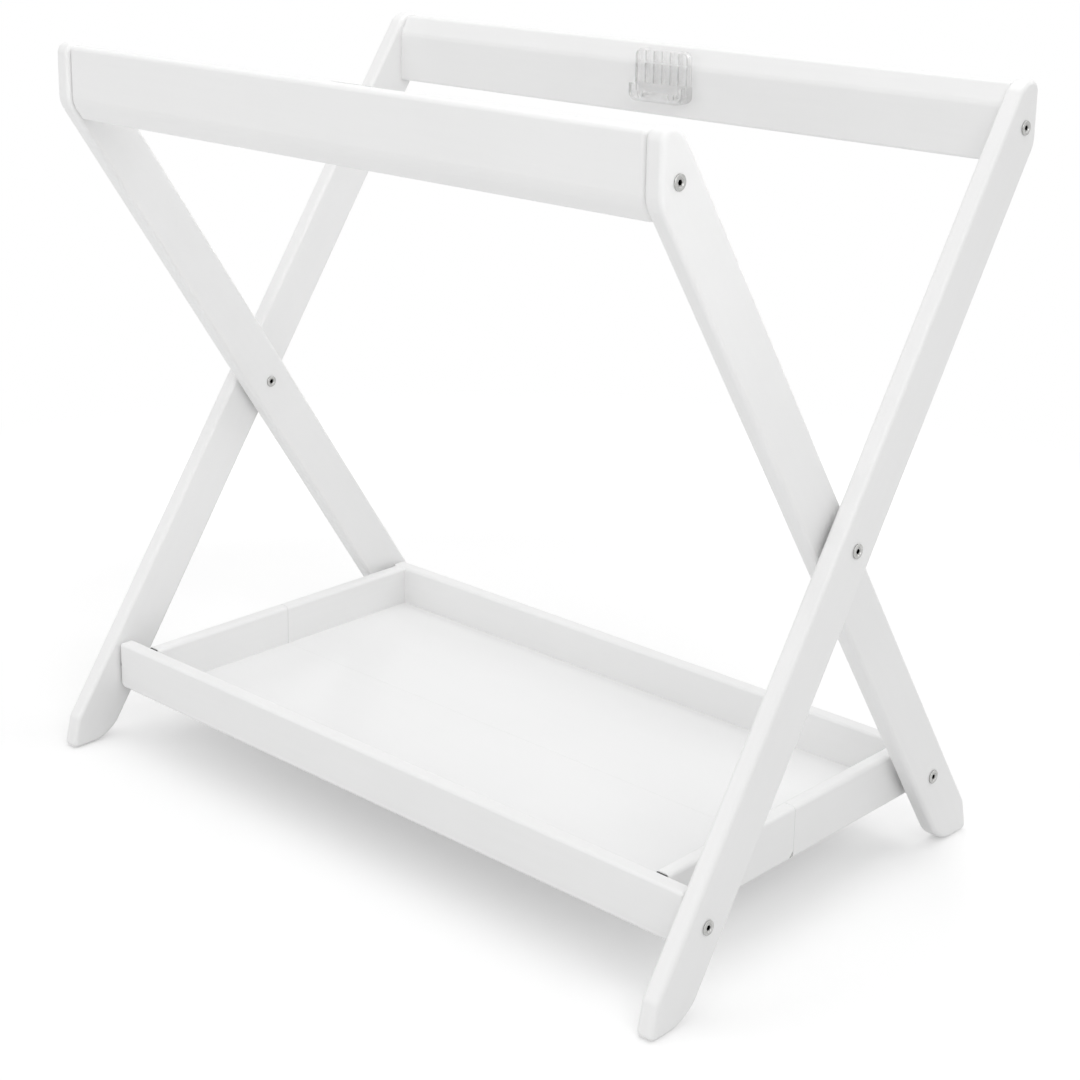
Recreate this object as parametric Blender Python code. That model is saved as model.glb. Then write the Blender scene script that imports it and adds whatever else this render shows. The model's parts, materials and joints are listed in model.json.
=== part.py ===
# Folding bassinet stand: two crossing leg frames, a two-part tray that locks them open,
# and a clear moulded bracket on each top rail.
# X runs along the stand, Y from front to back, Z up. The origin is on the floor under the middle.
# Metres and radians. The outer frame has its feet in front, the inner frame has its feet behind.
import math

import bmesh
import bpy
from mathutils import Matrix, Vector

# Legs and their pivot
LENGTH = 0.800              # over the outer faces of the outer legs
LEG_THICK = 0.018
LEG_WIDTH = 0.051
LEG_GAP = 0.006             # between an outer leg and the inner leg beside it
LEG_LEAN = math.radians(33.7)
PIVOT_HEIGHT = 0.3545
TOP_REACH = 0.4033          # along a leg, from the pivot to the top rail bolt
TRAY_REACH = 0.3330         # along a leg, from the pivot to the tray bolt
TOP_ABOVE_BOLT = 0.0410     # from the top bolt to the end of the leg
TOP_OUTSIDE_BOLT = 0.0195   # from the top bolt to the upright outer face of the leg
TOE_TRIM = 0.0140           # what the steep front of a foot takes off its toe at the floor
TOE_LEAN = math.radians(13)
TOP_BEND_RADIUS = 0.024
TOP_OUTER_RADIUS = 0.008
TOP_INNER_RADIUS = 0.022
TOE_RADIUS = 0.0056
TOE_BEND_RADIUS = 0.022
HEEL_RADIUS = 0.040
LEG_EDGE_RADIUS = 0.0045

# Top rails
RAIL_INSET = 0.0020         # of the rail behind the legs' outer outline
RAIL_THICK = 0.0265
RAIL_HEIGHT = 0.0700
RAIL_SET_DOWN = 0.0030      # of the rail's top under the legs' ends
RAIL_TOP_RELIEF = 0.0100    # by how much the inner face leans back at the top
RAIL_CREASE_DROP = 0.0190   # from the rail's top to the crease where the lean starts
RAIL_TOP_RADIUS = 0.0040
RAIL_FOOT_RADIUS = 0.0030

# Tray
TRAY_RAIL_THICK = 0.0160
TRAY_RAIL_HEIGHT = 0.0490
TRAY_RAIL_DROP = 0.0240     # from the tray bolt down to the underside of the rails
TRAY_RAIL_END_GAP = 0.0022  # between a long rail's end and its leg
TRAY_RAIL_EDGE_RADIUS = 0.0032
TRAY_RAIL_LOW_CORNER = 0.0060
TRAY_RAIL_TOP_CORNER = 0.0036
END_RAIL_THICK = 0.0150
END_RAIL_LEG_GAP = 0.0070   # between an end rail and the inner leg beside it
END_RAIL_TOP_RADIUS = 0.0042
END_RAIL_LOW_RADIUS = 0.0015
END_RAIL_END_EASE = 0.0009
FRONT_SHOULDER_GAP = 0.0022 # between the end rails and the front long rail
TENON_THICK = 0.0060
TENON_HEIGHT = 0.0095
TENON_BELOW_BOLT = 0.0068
TENON_LENGTH = 0.0080       # of the part of a tenon that is in the long rail
MIDDLE_SEAM = 0.0006        # between the butting halves of the tray
MIDDLE_NICK = 0.0070        # corner taken off the front half over the hinge knuckle
FLOOR_THICK = 0.0038
FLOOR_ABOVE_UNDERSIDE = 0.0028
GROOVE_DEPTH = 0.0040
GROOVE_PLAY = 0.0004

# Fasteners
BOLT_DIAMETER = 0.0060
BOLT_HEAD_DIAMETER = 0.0132
BOLT_HEAD_HEIGHT = 0.0012
BOLT_BITE = 0.0240          # length of a bolt inside its rail
BOLT_TIP_CHAMFER = 0.0009
BOLT_HOLE_PLAY = 0.0005
BORE_PAST_BOLT = 0.0020     # free depth beyond the tip of a bolt, dowel or screw
SOCKET_FLATS = 0.0040
SOCKET_DEPTH = 0.0018
INSERT_DIAMETER = 0.0100
INSERT_LENGTH = 0.0180
INSERT_SET_IN = 0.0010
DOWEL_DIAMETER = 0.0080
DOWEL_LENGTH = 0.0300
DOWEL_BELOW_BOLT = 0.0200
DOWEL_IN_LEG = 0.0100
BARREL_DIAMETER = 0.0090    # sleeve of the pivot nut
NUT_HEAD_DIAMETER = 0.0115
NUT_HEAD_HEIGHT = 0.0012
NUT_END_WALL = 0.0054       # solid end of the sleeve under the nut's head
HEAD_CROWN = 0.0005         # rounding of the rims of the bolt and nut heads
SPACER_DIAMETER = 0.0200
TRAY_WASHER_DIAMETER = 0.0120

# Hinge between the tray halves
HINGE_WIDTH = 0.0090
HINGE_LEAF_LENGTH = 0.0280
HINGE_LEAF_THICK = 0.0012
KNUCKLE_DIAMETER = 0.0044
HINGE_PIN_DIAMETER = 0.0020
KNUCKLE_GAP = 0.0004
JOIN_OVERLAP = 0.0013       # by which a web or a tenon starts inside the piece it grows from

# Clear bracket
BRACKET_WIDTH = 0.0660
BRACKET_BELOW_RAIL_TOP = 0.0035
BRACKET_HEIGHT = 0.0515
BRACKET_STAND_OFF = 0.0085  # from the rail to the front of the upright
BRACKET_POCKET = 0.0061     # between the upright and the lip, where the bassinet's frame drops in
BRACKET_WALL = 0.0020
BRACKET_CORNER = 0.0080
BRACKET_COLLAR_OVERHANG = 0.0010
BRACKET_COLLAR_HEIGHT = 0.0170
BRACKET_COLLAR_CORNER = 0.0100
BRACKET_LIP_HEIGHT = 0.0100
BRACKET_LIP_END = 0.0055    # from a side of the collar to the place where the lip steps down
BRACKET_RIB_THICK = 0.0016
BRACKET_RIB_SPACING = 0.0105
BRACKET_RIBS = 5
BRACKET_LEDGE_DROP = 0.0140
BRACKET_SCREW_SPACING = 0.0400
BRACKET_SCREW_HEIGHT = 0.0066
BRACKET_NOTCH_WIDTH = 0.0066    # in the lip, for the screwdriver
SCREW_DIAMETER = 0.0030
SCREW_HEAD_DIAMETER = 0.0060
SCREW_HEAD_HEIGHT = 0.0016
SCREW_LENGTH = 0.0140

# Clearance kept between pieces that touch, and how far a cutter runs past what it cuts
CLEAR = 0.0003
CUT_PAST = 0.0100

# Smoothness
ARC_STEP = math.radians(12)
ROUND_SIDES = 12
EDGE_STEPS = 3
SMOOTH_ANGLE = math.radians(32)

PAINT = ("white_painted_wood", (0.86, 0.86, 0.855), 0.38, 0.0)
BEECH = ("beech_dowel", (0.66, 0.47, 0.29), 0.60, 0.0)
PANEL = ("white_panel", (0.87, 0.87, 0.87), 0.30, 0.0)
STEEL = ("nickel_steel", (0.60, 0.60, 0.59), 0.32, 1.0)
BRASS = ("brass_insert", (0.72, 0.56, 0.28), 0.35, 1.0)
NYLON = ("grey_nylon", (0.30, 0.30, 0.31), 0.50, 0.0)
CLEAR_PLASTIC = ("clear_plastic", (0.92, 0.94, 0.95), 0.08, 0.0)

# Places worked out from the sizes above
OUTER_LEG_OUT = LENGTH / 2
OUTER_LEG_IN = OUTER_LEG_OUT - LEG_THICK
INNER_LEG_OUT = OUTER_LEG_IN - LEG_GAP
INNER_LEG_IN = INNER_LEG_OUT - LEG_THICK
TOP_BOLT = Vector((math.sin(LEG_LEAN), math.cos(LEG_LEAN))) * TOP_REACH
TRAY_BOLT = Vector((-math.sin(LEG_LEAN), -math.cos(LEG_LEAN))) * TRAY_REACH
LEG_FACE = TOP_BOLT.x + TOP_OUTSIDE_BOLT
LEG_END = TOP_BOLT.y + TOP_ABOVE_BOLT
TRAY_BOLT_OUT = -TRAY_BOLT.x
TRAY_BOLT_HEIGHT = PIVOT_HEIGHT + TRAY_BOLT.y
TRAY_UNDERSIDE = TRAY_BOLT_HEIGHT - TRAY_RAIL_DROP
TRAY_RIM = TRAY_UNDERSIDE + TRAY_RAIL_HEIGHT
LONG_RAIL_INNER_FACE = TRAY_BOLT_OUT - TRAY_RAIL_THICK / 2
END_RAIL_OUT = INNER_LEG_IN - END_RAIL_LEG_GAP
END_RAIL_IN = END_RAIL_OUT - END_RAIL_THICK
FLOOR_BOTTOM = TRAY_UNDERSIDE + FLOOR_ABOVE_UNDERSIDE
FLOOR_TOP = FLOOR_BOTTOM + FLOOR_THICK
RAIL_TOP = PIVOT_HEIGHT + LEG_END - RAIL_SET_DOWN
RAIL_OUTER_FACE = LEG_FACE - RAIL_INSET
RAIL_INNER_FACE = RAIL_OUTER_FACE - RAIL_THICK
END_RAIL_MIDDLE = (END_RAIL_OUT + END_RAIL_IN) / 2
TENON_TOP = TRAY_BOLT_HEIGHT - TENON_BELOW_BOLT


def clear_scene():
    for old in list(bpy.data.objects):
        bpy.data.objects.remove(old, do_unlink=True)


def material(spec):
    name, colour, roughness, metallic = spec
    found = bpy.data.materials.get(name)
    if found:
        return found
    made = bpy.data.materials.new(name)
    made.use_nodes = True
    shader = made.node_tree.nodes["Principled BSDF"]
    shader.inputs["Base Color"].default_value = (*colour, 1.0)
    shader.inputs["Roughness"].default_value = roughness
    shader.inputs["Metallic"].default_value = metallic
    if spec is CLEAR_PLASTIC:
        shader.inputs["Transmission Weight"].default_value = 1.0
        shader.inputs["IOR"].default_value = 1.49
    return made


def rounded_outline(corners):
    """Corners are (u, v, radius). Each corner becomes an arc that stays inside its own two sides."""
    points = []
    count = len(corners)
    for index, (u, v, radius) in enumerate(corners):
        here = Vector((u, v))
        before = Vector(corners[index - 1][:2]) - here
        after = Vector(corners[(index + 1) % count][:2]) - here
        if radius <= 0:
            points.append(here)
            continue
        turn = math.pi - before.angle(after)
        run = min(radius * math.tan(turn / 2), before.length * 0.49, after.length * 0.49)
        radius = run / math.tan(turn / 2)
        start = here + before.normalized() * run
        toward = (before.normalized() + after.normalized()).normalized()
        centre = here + toward * (radius / math.cos(turn / 2))
        spoke = start - centre
        way = 1 if before.x * after.y - before.y * after.x < 0 else -1
        steps = max(2, round(turn / ARC_STEP))
        for step in range(steps + 1):
            points.append(centre + Matrix.Rotation(way * turn * step / steps, 2) @ spoke)
    return points


def finish_mesh(bm, name):
    bmesh.ops.recalc_face_normals(bm, faces=bm.faces)
    mesh = bpy.data.meshes.new(name)
    bm.to_mesh(mesh)
    bm.free()
    mesh.shade_smooth()
    mesh.set_sharp_from_angle(angle=SMOOTH_ANGLE)
    return mesh


PLANES = {
    "x": lambda u, v, w: Vector((w, u, v)),
    "y": lambda u, v, w: Vector((u, w, v)),
    "z": lambda u, v, w: Vector((u, v, w)),
}


def board_mesh(name, outline, across, low, high, edge=0.0, steps=EDGE_STEPS):
    """A board: its outline is extruded across one axis and both rims are rounded over."""
    bm = bmesh.new()
    put = PLANES[across]
    rim = [bm.verts.new(put(u, v, low)) for u, v in outline]
    start = bm.faces.new(rim)
    grown = bmesh.ops.extrude_face_region(bm, geom=[start])
    far = [item for item in grown["geom"] if isinstance(item, bmesh.types.BMVert)]
    bmesh.ops.translate(bm, verts=far, vec=put(0, 0, high - low))
    bmesh.ops.recalc_face_normals(bm, faces=bm.faces)
    if edge > 0:
        near = set(rim)
        beyond = set(far)
        rims = [e for e in bm.edges if set(e.verts) <= near or set(e.verts) <= beyond]
        bmesh.ops.bevel(bm, geom=rims, offset=edge, segments=steps, profile=0.5,
                        affect="EDGES", clamp_overlap=True)
    return finish_mesh(bm, name)


def box_outline(u_low, u_high, v_low, v_high):
    return [Vector(corner) for corner in (
        (u_low, v_low), (u_high, v_low), (u_high, v_high), (u_low, v_high))]


def hexagon_radius(flats, angle):
    """Radius of a hexagon with its flats that far apart, at one angle."""
    within = angle % (math.pi / 3) - math.pi / 6
    return flats / 2 / math.cos(within)


def turned_mesh(name, profile):
    """A piece turned about X. The profile holds (x, radius) or (x, flats, 'hex'), from end to end."""
    bm = bmesh.new()
    rings = []
    for point in profile:
        x, size = point[0], point[1]
        if size == 0:
            rings.append([bm.verts.new((x, 0, 0))])
            continue
        ring = []
        for step in range(ROUND_SIDES):
            angle = 2 * math.pi * step / ROUND_SIDES
            radius = hexagon_radius(size, angle) if len(point) == 3 else size
            ring.append(bm.verts.new((x, radius * math.cos(angle), radius * math.sin(angle))))
        rings.append(ring)
    pairs = list(zip(rings, rings[1:]))
    if len(rings[0]) > 1:
        pairs.append((rings[-1], rings[0]))
    for first, second in pairs:
        for step in range(ROUND_SIDES):
            after = (step + 1) % ROUND_SIDES
            if len(first) == 1:
                bm.faces.new((first[0], second[step], second[after]))
            elif len(second) == 1:
                bm.faces.new((first[step], first[after], second[0]))
            else:
                bm.faces.new((first[step], first[after], second[after], second[step]))
    return finish_mesh(bm, name)


def holder(name, location, parent=None):
    """An empty that stands on a joint's axis and carries what turns there."""
    empty = bpy.data.objects.new(name, None)
    empty.empty_display_size = 0.05
    bpy.context.scene.collection.objects.link(empty)
    empty["stands_at"] = location
    empty.parent = parent
    empty.location = Vector(location) - (Vector(parent["stands_at"]) if parent else Vector())
    return empty


def add(name, mesh, spec, location, carrier, turn_z=0.0):
    """Places a piece at a world location on the empty that carries it."""
    piece = bpy.data.objects.new(name, mesh)
    bpy.context.scene.collection.objects.link(piece)
    if not mesh.materials:
        mesh.materials.append(material(spec))
    piece.parent = carrier
    piece.location = Vector(location) - Vector(carrier["stands_at"])
    piece.rotation_euler = (0, 0, turn_z)
    return piece


def cutter(name, mesh, location, carrier, turn_z=0.0):
    tool = bpy.data.objects.new(name, mesh)
    bpy.context.scene.collection.objects.link(tool)
    tool.parent = carrier
    tool.location = Vector(location) - Vector(carrier["stands_at"])
    tool.rotation_euler = (0, 0, turn_z)
    tool.display_type = "WIRE"
    tool.hide_render = True
    return tool


def cut(piece, tool, operation="DIFFERENCE"):
    step = piece.modifiers.new(tool.name, "BOOLEAN")
    step.operation = operation
    step.solver = "EXACT"
    step.object = tool


def rod_mesh(name, radius, low, high):
    return turned_mesh(name, [(low, 0), (low, radius), (high, radius), (high, 0)])


def leg_outline():
    """Side view of an outer leg about its pivot: u runs to the back, v up."""
    lean = math.tan(LEG_LEAN)
    half = LEG_WIDTH / 2 / math.cos(LEG_LEAN)
    floor = -PIVOT_HEIGHT
    toe = floor * lean - half + TOE_TRIM
    steep = math.tan(TOE_LEAN)
    toe_bend = floor + TOE_TRIM / (lean - steep)
    return rounded_outline([
        (toe, floor, TOE_RADIUS),
        (floor * lean + half, floor, HEEL_RADIUS),
        (LEG_FACE, (LEG_FACE - half) / lean, TOP_BEND_RADIUS),
        (LEG_FACE, LEG_END, TOP_OUTER_RADIUS),
        (LEG_END * lean - half, LEG_END, TOP_INNER_RADIUS),
        (toe_bend * lean - half, toe_bend, TOE_BEND_RADIUS),
    ])


def leg_pair(frame, middle, turn, carrier, pivot_bore):
    """Two legs of one frame, bored for the top bolt, its dowel, the pivot and the tray bolt."""
    mesh = board_mesh(frame + "_leg", leg_outline(), "x", -LEG_THICK / 2, LEG_THICK / 2, LEG_EDGE_RADIUS)
    bolt_bore = rod_mesh("bolt_bore", BOLT_DIAMETER / 2 + BOLT_HOLE_PLAY, -LEG_THICK, LEG_THICK)
    pivot = rod_mesh("pivot_bore", pivot_bore, -LEG_THICK, LEG_THICK)
    dowel = rod_mesh("dowel_bore", DOWEL_DIAMETER / 2 + CLEAR,
                     LEG_THICK / 2 - DOWEL_IN_LEG - CLEAR, LEG_THICK)
    facing = math.cos(turn)
    for side, sign in (("left", -1), ("right", 1)):
        name = f"{frame}_leg_{side}"
        centre = Vector((sign * middle, 0, PIVOT_HEIGHT))
        leg = add(name, mesh, PAINT, centre, carrier, turn)
        low = Vector((0, facing * TRAY_BOLT.x, TRAY_BOLT.y))
        high = Vector((0, facing * TOP_BOLT.x, TOP_BOLT.y))
        cut(leg, cutter(name + "_tray_bore", bolt_bore, centre + low, carrier))
        cut(leg, cutter(name + "_pivot_bore", pivot, centre, carrier))
        cut(leg, cutter(name + "_top_bore", bolt_bore, centre + high, carrier))
        peg = centre + high - Vector((0, 0, DOWEL_BELOW_BOLT))
        cut(leg, cutter(name + "_dowel_bore", dowel, peg, carrier, math.pi if sign > 0 else 0.0))


def top_rail_outline():
    """Section of a top rail, u outwards from the stand's middle, v up from the pivot."""
    lean = math.tan(LEG_LEAN)
    edge = (LEG_WIDTH / 2 - RAIL_INSET) / math.cos(LEG_LEAN)
    top = LEG_END - RAIL_SET_DOWN
    foot = top - RAIL_HEIGHT
    bend = (RAIL_OUTER_FACE - edge) / lean
    outer = [(RAIL_OUTER_FACE, foot, RAIL_FOOT_RADIUS)]
    if foot < bend:
        outer = [(foot * lean + edge, foot, RAIL_FOOT_RADIUS),
                 (RAIL_OUTER_FACE, bend, TOP_BEND_RADIUS - RAIL_INSET)]
    return rounded_outline([
        (RAIL_INNER_FACE, foot, RAIL_FOOT_RADIUS), *outer,
        (RAIL_OUTER_FACE, top, RAIL_TOP_RADIUS),
        (RAIL_INNER_FACE + RAIL_TOP_RELIEF, top, RAIL_TOP_RADIUS),
        (RAIL_INNER_FACE, top - RAIL_CREASE_DROP, 0),
    ])


def bolt_mesh(name, grip):
    """A socket-head bolt: X = 0 is the wood under its head, and its tip reaches back by the grip."""
    shank = BOLT_DIAMETER / 2
    head = BOLT_HEAD_DIAMETER / 2
    top = CLEAR + BOLT_HEAD_HEIGHT
    floor = top - SOCKET_DEPTH
    return turned_mesh(name, [
        (-grip, 0), (-grip, shank - BOLT_TIP_CHAMFER), (-grip + BOLT_TIP_CHAMFER, shank), (CLEAR, shank),
        (CLEAR, head), (top - HEAD_CROWN, head), (top, head - HEAD_CROWN),
        (top, SOCKET_FLATS, "hex"), (floor, SOCKET_FLATS, "hex"), (floor, 0)])


def tube_mesh(name, bore, outside, low, high):
    return turned_mesh(name, [(low, bore), (low, outside), (high, outside), (high, bore)])


def top_rail(frame, rail_name, end, facing, turn, leg_out, carrier):
    """A top rail with a threaded insert and a dowel in each end, and the bolts that hold it."""
    half = end - CLEAR
    mesh = board_mesh(rail_name, top_rail_outline(), "x", -half, half)
    rail = add(rail_name, mesh, PAINT, (0, 0, PIVOT_HEIGHT), carrier, turn)
    height = PIVOT_HEIGHT + TOP_BOLT.y
    place = facing * TOP_BOLT.x
    insert_bore = rod_mesh(rail_name + "_insert_bore", INSERT_DIAMETER / 2 + CLEAR,
                           -BOLT_BITE - BORE_PAST_BOLT, CUT_PAST)
    dowel_bore = rod_mesh(rail_name + "_dowel_bore", DOWEL_DIAMETER / 2 + CLEAR,
                          -DOWEL_LENGTH + DOWEL_IN_LEG - BORE_PAST_BOLT, CUT_PAST)
    bolt = bolt_mesh(frame + "_top_bolt", LEG_THICK + BOLT_BITE)
    insert = tube_mesh(frame + "_top_insert", BOLT_DIAMETER / 2 + CLEAR, INSERT_DIAMETER / 2,
                       -INSERT_SET_IN - INSERT_LENGTH, -INSERT_SET_IN)
    dowel = rod_mesh(frame + "_dowel", DOWEL_DIAMETER / 2, -DOWEL_LENGTH + DOWEL_IN_LEG, DOWEL_IN_LEG)
    for side, sign in (("left", -1), ("right", 1)):
        spin = 0.0 if sign > 0 else math.pi
        axis = (sign * half, place, height)
        peg = (sign * half, place, height - DOWEL_BELOW_BOLT)
        cut(rail, cutter(f"{rail_name}_insert_bore_{side}", insert_bore, axis, carrier, spin))
        cut(rail, cutter(f"{rail_name}_dowel_bore_{side}", dowel_bore, peg, carrier, spin))
        add(f"{frame}_top_bolt_{side}", bolt, STEEL, (sign * leg_out, place, height), carrier, spin)
        add(f"{frame}_top_insert_{side}", insert, BRASS, axis, carrier, spin)
        add(f"{frame}_rail_dowel_{side}", dowel, BEECH, peg, carrier, spin)


def pivots(carrier):
    """Centre pivots: a bolt from outside meets a sleeve nut from inside, with a spacer between the legs."""
    grip = 2 * LEG_THICK + LEG_GAP
    bolt = bolt_mesh("pivot_bolt", grip - NUT_END_WALL)
    nut_head = NUT_HEAD_DIAMETER / 2
    bore = BOLT_DIAMETER / 2 + CLEAR
    sleeve = LEG_THICK + LEG_GAP - CLEAR
    top = -CLEAR - NUT_HEAD_HEIGHT
    nut = turned_mesh("pivot_sleeve_nut", [
        (top + SOCKET_DEPTH, 0), (top + SOCKET_DEPTH, SOCKET_FLATS, "hex"), (top, SOCKET_FLATS, "hex"),
        (top, nut_head - HEAD_CROWN), (top + HEAD_CROWN, nut_head), (-CLEAR, nut_head),
        (-CLEAR, BARREL_DIAMETER / 2), (sleeve, BARREL_DIAMETER / 2), (sleeve, bore),
        (NUT_END_WALL - CLEAR, bore), (NUT_END_WALL - CLEAR, 0)])
    spacer = tube_mesh("pivot_spacer", BARREL_DIAMETER / 2 + CLEAR, SPACER_DIAMETER / 2,
                       CLEAR, LEG_GAP - CLEAR)
    for side, sign in (("left", -1), ("right", 1)):
        spin = 0.0 if sign > 0 else math.pi
        add(f"pivot_bolt_{side}", bolt, STEEL, (sign * OUTER_LEG_OUT, 0, PIVOT_HEIGHT), carrier, spin)
        add(f"pivot_sleeve_nut_{side}", nut, STEEL, (sign * INNER_LEG_IN, 0, PIVOT_HEIGHT), carrier, spin)
        add(f"pivot_spacer_{side}", spacer, NYLON, (sign * INNER_LEG_OUT, 0, PIVOT_HEIGHT), carrier, spin)


def tray_half(half, facing, leg_in, leg_out, carrier, bolt_carrier, open_pivot):
    """One half of the tray: its long rail, two end rails, a floor panel and the bolts at its legs."""
    long_name = f"{half}_tray_rail"
    reach = leg_in - TRAY_RAIL_END_GAP
    outline = rounded_outline([
        (-reach, TRAY_UNDERSIDE, TRAY_RAIL_LOW_CORNER), (reach, TRAY_UNDERSIDE, TRAY_RAIL_LOW_CORNER),
        (reach, TRAY_RIM, TRAY_RAIL_TOP_CORNER), (-reach, TRAY_RIM, TRAY_RAIL_TOP_CORNER)])
    outline = [(u, v - TRAY_BOLT_HEIGHT) for u, v in outline]
    mesh = board_mesh(long_name, outline, "y", -TRAY_RAIL_THICK / 2, TRAY_RAIL_THICK / 2,
                      TRAY_RAIL_EDGE_RADIUS)
    place = facing * TRAY_BOLT_OUT
    rail = add(long_name, mesh, PAINT, (0, place, TRAY_BOLT_HEIGHT), carrier)
    inner_face = facing * LONG_RAIL_INNER_FACE
    groove_end = END_RAIL_IN + GROOVE_DEPTH
    groove_low = FLOOR_BOTTOM - GROOVE_PLAY
    groove_high = FLOOR_TOP + GROOVE_PLAY
    groove_out = facing * (LONG_RAIL_INNER_FACE + GROOVE_DEPTH)
    groove = board_mesh(long_name + "_groove", box_outline(
        -groove_end, groove_end, groove_low, groove_high), "y",
        *sorted((inner_face - facing * GROOVE_DEPTH, groove_out)))
    cut(rail, cutter(long_name + "_groove", groove, (0, 0, 0), carrier))

    insert_bore = rod_mesh(long_name + "_insert_bore", INSERT_DIAMETER / 2 + CLEAR,
                           -BOLT_BITE - BORE_PAST_BOLT, CUT_PAST)
    insert = tube_mesh(half + "_tray_insert", BOLT_DIAMETER / 2 + CLEAR, INSERT_DIAMETER / 2,
                       -INSERT_SET_IN - INSERT_LENGTH, -INSERT_SET_IN)
    grip = LEG_THICK if open_pivot else LEG_THICK + TRAY_RAIL_END_GAP + BOLT_BITE
    bolt = bolt_mesh(half + "_tray_bolt", grip)
    washer = tube_mesh(half + "_tray_washer", BOLT_DIAMETER / 2 + BOLT_HOLE_PLAY, TRAY_WASHER_DIAMETER / 2,
                       -TRAY_RAIL_END_GAP + CLEAR, -CLEAR)
    for side, sign in (("left", -1), ("right", 1)):
        spin = 0.0 if sign > 0 else math.pi
        axis = (sign * reach, place, TRAY_BOLT_HEIGHT)
        cut(rail, cutter(f"{long_name}_insert_bore_{side}", insert_bore, axis, carrier, spin))
        mortise = tenon_mesh(f"{long_name}_mortise_{side}", sign, facing, CLEAR)
        cut(rail, cutter(f"{long_name}_mortise_{side}", mortise, (0, 0, 0), carrier))
        add(f"{half}_tray_insert_{side}", insert, BRASS, axis, carrier, spin)
        add(f"{half}_tray_bolt_{side}", bolt, STEEL, (sign * leg_out, place, TRAY_BOLT_HEIGHT),
            bolt_carrier, spin)
        add(f"{half}_tray_washer_{side}", washer, NYLON, (sign * leg_in, place, TRAY_BOLT_HEIGHT),
            bolt_carrier, spin)
        end_rail(half, side, sign, facing, carrier)

    edge = END_RAIL_IN + GROOVE_DEPTH - GROOVE_PLAY
    outer = facing * (LONG_RAIL_INNER_FACE + GROOVE_DEPTH - GROOVE_PLAY)
    middle = facing * MIDDLE_SEAM / 2
    panel = board_mesh(half + "_floor_panel", box_outline(
        -edge, edge, *sorted((outer, middle))), "z", FLOOR_BOTTOM, FLOOR_TOP)
    add(half + "_floor_panel", panel, PANEL, (0, 0, 0), carrier)


def tenon_mesh(name, sign, facing, grow):
    """The tongue at the end of an end rail, or with some growth the mortise that takes it."""
    half = TENON_THICK / 2 + grow
    start = LONG_RAIL_INNER_FACE - FRONT_SHOULDER_GAP - JOIN_OVERLAP
    stop = LONG_RAIL_INNER_FACE + TENON_LENGTH + grow
    return board_mesh(name, box_outline(
        sign * END_RAIL_MIDDLE - half, sign * END_RAIL_MIDDLE + half,
        TENON_TOP - TENON_HEIGHT - grow, TENON_TOP + grow), "y", *sorted((facing * start, facing * stop)))


def hinge_cut(name, sign, facing):
    """What is taken out of an end rail for a hinge leaf and for the knuckles."""
    half = HINGE_WIDTH / 2 + CLEAR
    low = sign * END_RAIL_MIDDLE - half
    high = sign * END_RAIL_MIDDLE + half
    far = facing * (HINGE_LEAF_LENGTH + KNUCKLE_DIAMETER / 2 + CLEAR)
    recess = board_mesh(name + "_recess", box_outline(
        low, high, *sorted((far, -facing * CUT_PAST))), "z",
        TRAY_UNDERSIDE - CUT_PAST, TRAY_UNDERSIDE + HINGE_LEAF_THICK + CLEAR)
    relief = rod_mesh(name + "_relief", KNUCKLE_DIAMETER / 2 + CLEAR, low, high)
    return recess, relief


def end_rail(half, side, sign, facing, carrier):
    """Half of an end rail, from the long rail to the seam in the middle of the tray."""
    name = f"{half}_end_rail_{side}"
    outside = sign * END_RAIL_OUT
    inside = sign * END_RAIL_IN
    corners = [
        (inside, TRAY_UNDERSIDE, END_RAIL_LOW_RADIUS), (outside, TRAY_UNDERSIDE, END_RAIL_LOW_RADIUS),
        (outside, TRAY_RIM, END_RAIL_TOP_RADIUS), (inside, TRAY_RIM, END_RAIL_TOP_RADIUS)]
    gap = FRONT_SHOULDER_GAP if facing < 0 else CLEAR
    ends = sorted((facing * (LONG_RAIL_INNER_FACE - gap), facing * MIDDLE_SEAM / 2))
    mesh = board_mesh(name, rounded_outline(corners), "y", *ends, END_RAIL_END_EASE, 1)
    rail = add(name, mesh, PAINT, (0, 0, 0), carrier)
    tenon = tenon_mesh(name + "_tenon", sign, facing, 0.0)
    cut(rail, cutter(name + "_tenon", tenon, (0, 0, 0), carrier), "UNION")
    recess, relief = hinge_cut(name, sign, facing)
    cut(rail, cutter(name + "_recess", recess, (0, 0, 0), carrier))
    cut(rail, cutter(name + "_relief", relief, (0, 0, TRAY_UNDERSIDE), carrier))
    groove = board_mesh(name + "_groove", box_outline(
        *sorted((inside - sign * CUT_PAST, inside + sign * GROOVE_DEPTH)),
        FLOOR_BOTTOM - GROOVE_PLAY, FLOOR_TOP + GROOVE_PLAY), "y", ends[0] - CUT_PAST, ends[1] + CUT_PAST)
    cut(rail, cutter(name + "_groove", groove, (0, 0, 0), carrier))
    if facing < 0:
        nick = rounded_outline([
            (facing * MIDDLE_NICK, TRAY_UNDERSIDE, 0),
            (facing * MIDDLE_NICK, TRAY_UNDERSIDE - MIDDLE_NICK, 0),
            (MIDDLE_NICK, TRAY_UNDERSIDE - MIDDLE_NICK, 0),
            (MIDDLE_NICK, TRAY_UNDERSIDE + 2 * MIDDLE_NICK, 0)])
        wedge = board_mesh(name + "_nick", nick, "x",
                           *sorted((inside - sign * CUT_PAST, outside + sign * CUT_PAST)))
        cut(rail, cutter(name + "_nick", wedge, (0, 0, 0), carrier))


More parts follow.
